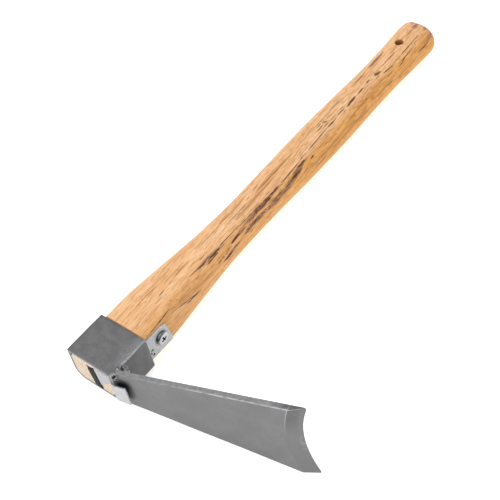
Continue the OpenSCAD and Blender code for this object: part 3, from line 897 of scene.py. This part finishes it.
def eye_collar():
    outer = rounded_rect(-HALF_DEPTH, HALF_DEPTH, -HALF_WIDTH, HALF_WIDTH, OUTER_CORNERS, 6, 14)
    inner = rounded_rect(-EYE_DEPTH, EYE_DEPTH, -EYE_WIDTH, EYE_WIDTH, INNER_CORNERS, 6, 14)
    # the wall's section: inset from the outer face, and height
    edge, middle = RIM_ROUND, RIM_MIDDLE
    section = [(0, lerp(edge, EYE_HEIGHT - edge, k / 12)) for k in range(13)]
    section += [(middle, EYE_HEIGHT - middle), (edge, EYE_HEIGHT), (WALL - edge, EYE_HEIGHT),
                (WALL - middle, EYE_HEIGHT - middle)]
    section += [(WALL, lerp(EYE_HEIGHT - edge, edge, k / 4)) for k in range(5)]
    section += [(WALL - middle, middle), (WALL - edge, 0), (edge, 0), (middle, middle)]
    rings = []
    for inset, y in section:
        ring = []
        for o, i in zip(outer, inner):
            t = inset / WALL
            x, z = lerp(o[0], i[0], t), lerp(o[1], i[1], t)
            k = 1 + DENT * wobble(x, y, z, DENT_SIZE) / DENT_RADIUS
            ring.append((x * k, y + RIM_WAVE * wobble(x, 0, z, RIM_WAVE_SIZE, 3.0), z * k))
        rings.append(ring)
    collar = make_object("collar_band", *loft(rings, wrap=True))
    return dress(collar, "eye_collar", collar_material(), 30)


def blade_point(u, n, z):
    """A point from its distance along the blade, its depth below the outer face, and z."""
    return (HALF_DEPTH + u * math.cos(LEAN) - n * math.sin(LEAN),
            BLADE_STEP + u * math.sin(LEAN) + n * math.cos(LEAN), z)


def arc_reach(radius, t):
    """How far along the blade a round edge of that radius lies, at part t of the half width."""
    u = BLADE_LENGTH
    for _ in range(20):
        u = BLADE_LENGTH + CRESCENT - math.sqrt(radius ** 2 - (t * (ROOT_HALF + FLARE * u)) ** 2)
    return u


def blade_section(t):
    """The blade's outline at part t of its half width, from the root round the edge and back."""
    worn = CORNER_WEAR * corner_cut((1 - abs(t)) * EDGE_WIDTH / 2, CORNER_ROUND)
    edge, bevel = arc_reach(CRESCENT, t) - worn, arc_reach(CRESCENT + BEVEL_LENGTH, t)
    root = ROOT_THICKNESS * math.tan(LEAN)
    outline = [(lerp(0, bevel, k / 24), 0) for k in range(25)]
    outline += [(lerp(bevel, edge, k / 4), lerp(0, TIP_THICKNESS - EDGE_LAND, k / 4)) for k in range(1, 5)]
    for k in range(25):
        u = lerp(edge, root, k / 24)
        outline.append((u, lerp(ROOT_THICKNESS, TIP_THICKNESS, u / EDGE_CORNER)))
    section = []
    for u, n in outline:
        z = t * (ROOT_HALF + FLARE * u)
        section.append(blade_point(u, n + PLATE_WAVE * wobble(u, 0, z, PLATE_WAVE_SIZE), z))
    return section


def blade():
    # close stations where the corners are worn round
    corners = [0.9998, 0.999, 0.997, 0.993, 0.986, 0.975, 0.96, 0.94]
    stations = sorted({*np.linspace(-1, 1, 33), *corners, *(-t for t in corners)})
    plate = make_object("blade_plate", *loft([blade_section(t) for t in stations]))
    soften(plate, 0.35)
    return dress(plate, "blade", blade_material(), 15)


def lump(x, y, z, radius, seed):
    """Vertices and faces of a knobbly round lump."""
    ball = bmesh.new()
    bmesh.ops.create_icosphere(ball, subdivisions=4, radius=radius)
    verts = []
    for v in ball.verts:
        k = 1 + LUMPINESS * wobble(*v.co, radius * 0.9, seed)
        verts.append((x + v.co.x * k, y + v.co.y * k, z + v.co.z * k))
    faces = [tuple(v.index for v in f.verts) for f in ball.faces]
    ball.free()
    return verts, faces


def merged(*parts):
    """Several sets of vertices and faces as one."""
    verts, faces = [], []
    for some, more in parts:
        faces += [tuple(i + len(verts) for i in f) for f in more]
        verts += some
    return verts, faces


def weld_bead():
    """Lumps that run together along the root of the blade, each fillet lump seeded by its place."""
    fillet = [lump(HALF_DEPTH + 2.2, PLATE_BACK + 2.0, z, FILLET_RADIUS, z)
              for z in np.arange(-13.5, 12, FILLET_STEP)]
    bead = make_object("weld_lumps", *merged(*fillet, *(lump(*row) for row in UPPER_LUMPS)))
    return dress(bead, "weld_bead", weld_material(), 60)


def corner_cut(distance, radius):
    """How much a rounded corner takes off at that distance from the side."""
    if distance >= radius:
        return 0.0
    return radius - math.sqrt(max(radius ** 2 - (radius - distance) ** 2, 0.0))


def strap_path(v):
    """The strap's middle line from the tab's end to the lip's end, at part v of its width."""
    mid = WOOD_FRONT + SHEET / 2
    leg_z = STRAP_LOW + STRAP_WIDTH * v
    lip_z = lerp(LIP_LOW, LIP_HIGH, v)
    top = TAB_END - TAB_SKEW * v - corner_cut(STRAP_WIDTH * min(v, 1 - v), TAB_CORNER)
    path = [(mid, lerp(top, TWIST_TOP, k / 24), leg_z) for k in range(25)]
    path += [(mid, lerp(TWIST_TOP, TWIST_END, k / 4), lerp(leg_z, lip_z, k / 4)) for k in range(1, 5)]
    for k in range(1, 7):
        a = math.radians(15 * k)
        path.append((mid + STRAP_BEND * (1 - math.cos(a)), TWIST_END - STRAP_BEND * math.sin(a), lip_z))
    path.append((HALF_DEPTH - 0.4, -SHEET / 2, lip_z))
    reach = LIP_LENGTH - corner_cut((LIP_HIGH - LIP_LOW) * min(v, 1 - v), LIP_CORNER)
    for k in range(1, 9):
        d = reach * k / 8
        path.append((HALF_DEPTH + d * math.cos(LIP_TILT), d * math.sin(LIP_TILT) - SHEET / 2,
                     lip_z + LIP_FLARE * d * v))
    return path


def retaining_strap():
    columns = sorted({*np.linspace(0, 1, 21), 0.01, 0.03, 0.06, 0.94, 0.97, 0.99})
    strap = thick_sheet("strap_sheet", [strap_path(v) for v in columns], SHEET)
    soften(strap, 0.2, 2, 50)
    return dress(strap, "retaining_strap", ZINC, 30)


def shim_plate():
    """A leg down the strap's side of the eye, a bend, and a head over the end grain."""
    mid_leg, mid_head = WOOD_FRONT - SHEET / 2, SHIM_FACE + SHEET / 2
    columns = np.linspace(0, 1, 15)
    leg = [(mid_leg, lerp(SHIM_DEPTH, mid_head + SHIM_BEND, k / 6)) for k in range(7)]
    for k in range(1, 7):
        a = math.radians(15 * k)
        leg.append((mid_leg - SHIM_BEND * (1 - math.cos(a)), mid_head + SHIM_BEND * (1 - math.sin(a))))
    grid = [[(x, y, lerp(SHIM_LOW, SHIM_HIGH, v)) for v in columns] for x, y in leg]
    for k in range(1, 13):
        t = k / 12
        row = []
        for v in columns:
            x = lerp(mid_leg - SHIM_BEND, SHIM_END + SHIM_SKEW * (1 - v), t)
            low, high = lerp(SHIM_LOW, SHIM_TAIL, t), lerp(SHIM_HIGH, SHIM_TAIL_HIGH, t)
            wave = SHIM_WAVE * wobble(x, 0, 20 * v, SHIM_WAVE_SIZE)
            row.append((x, mid_head - wave, lerp(low, high, v)))
        grid.append(row)
    shim = thick_sheet("shim_sheet", grid, SHEET)
    soften(shim, 0.3, 3, 50)
    return dress(shim, "shim_plate", ZINC, 30)


def end_wedge():
    # depth in the eye and half thickness: the burred face, its rim, the kerf's floor, the point
    stations = [(-0.3, WEDGE_HALF - 0.35), (0.1, WEDGE_HALF), (KERF_DEPTH, WEDGE_HALF - 0.5),
                (WEDGE_LENGTH, WEDGE_POINT)]
    rings = [[(x, y, max(z, -EYE_WIDTH)) for x, z in wedge_outline(half)] for y, half in stations]
    wedge = make_object("wedge_iron", *loft(rings))
    soften(wedge, 0.35, 3, 20)
    return dress(wedge, "end_wedge", wedge_material(), 40)


def strap_screw():
    # radius and height above the strap: the point, the shank, the domed head
    profile = [(0.3, -16), (SHANK_RADIUS, -12), (SHANK_RADIUS, 0), (SCREW_RADIUS, 0)]
    for k in range(12):
        a = math.radians(90 * k / 12)
        profile.append((SCREW_RADIUS * math.cos(a) ** HEAD_SQUARE,
                        HEAD_RIM + (HEAD_HEIGHT - HEAD_RIM) * math.sin(a)))
    profile.append((0.2, HEAD_HEIGHT))
    turns = np.linspace(0, 2 * math.pi, 64, endpoint=False)
    rings = [[(SCREW_SEAT + h, SCREW_Y + r * math.sin(b), SCREW_Z + r * math.cos(b)) for b in turns]
             for r, h in profile]
    screw = make_object("screw_head", *loft(rings))
    for turn in RECESS_TURNS:
        cut(screw, recess_cutter(math.radians(turn)))
    return dress(screw, "strap_screw", screw_material(), 35)


def recess_cutter(turn):
    """One bar of the cross recess, narrowing downwards."""

    def face(depth, length, width):
        corners = [(-length, -width), (length, -width), (length, width), (-length, width)]
        c, s = math.cos(turn), math.sin(turn)
        return [(SCREW_SEAT + depth, SCREW_Y + a * c - b * s, SCREW_Z + a * s + b * c)
                for a, b in corners]

    return block("recess", face(0.6, 1.2, 0.45), face(HEAD_HEIGHT + 0.5, 3.1, 0.85))


# ---------------------------------------------------------------- studio

# Places and sizes in metres, powers in watts
FLOOR_HALF = 4.0
FLOOR_DROP = 0.0004
WORLD_LIGHT = 0.72
LIGHTS = [("key", (-0.5, -0.2, 1.4), 1.2, 11), ("fill", (0.9, -1.1, 0.8), 1.4, 3)]
CAMERA_PLACE = (0.33508, -0.45558, 0.80699)
CAMERA_TURN = [math.radians(a) for a in (35.0402, 3.6634, 38.5348)]
CAMERA_LENS = 94.653


def studio_floor():
    """A white ground that glows a little, just under the tool."""
    mesh = bpy.data.meshes.new("floor")
    half = FLOOR_HALF
    corners = [(-half, -half, 0), (half, -half, 0), (half, half, 0), (-half, half, 0)]
    mesh.from_pydata(corners, [], [(0, 1, 2, 3)])
    floor = bpy.data.objects.new("floor", mesh)
    bpy.context.scene.collection.objects.link(floor)
    floor.location.z = -FLOOR_DROP
    n = Nodes("floor_white")
    n.put((0.9, 0.9, 0.9), n.shader.inputs["Base Color"])
    n.put(0.9, n.shader.inputs["Roughness"])
    n.put((1.0, 1.0, 1.0), n.shader.inputs["Emission Color"])
    n.put(0.6, n.shader.inputs["Emission Strength"])
    mesh.materials.append(n.material)


def area_light(name, place, size, power):
    """A square lamp that looks at the middle of the frame."""
    data = bpy.data.lights.new(name, "AREA")
    data.shape = "SQUARE"
    data.size = size
    data.energy = power
    light = bpy.data.objects.new(name, data)
    bpy.context.scene.collection.objects.link(light)
    light.location = place
    light.rotation_euler = (-Vector(place)).to_track_quat("-Z", "Y").to_euler()


def studio():
    studio_floor()
    world = bpy.data.worlds.new("studio")
    bpy.context.scene.world = world
    world.use_nodes = True
    background = world.node_tree.nodes["Background"]
    background.inputs["Color"].default_value = (1, 1, 1, 1)
    background.inputs["Strength"].default_value = WORLD_LIGHT
    for light in LIGHTS:
        area_light(*light)
    scene = bpy.context.scene
    scene.view_settings.view_transform = "Standard"
    camera_data = bpy.data.cameras.new("camera")
    camera = bpy.data.objects.new("camera", camera_data)
    scene.collection.objects.link(camera)
    camera.location = CAMERA_PLACE
    camera.rotation_euler = CAMERA_TURN
    camera_data.lens = CAMERA_LENS
    camera_data.sensor_width = 36
    scene.camera = camera


ZINC = zinc_material()

wood_handle()
eye_collar()
blade()
weld_bead()
retaining_strap()
shim_plate()
end_wedge()
strap_screw()
studio()
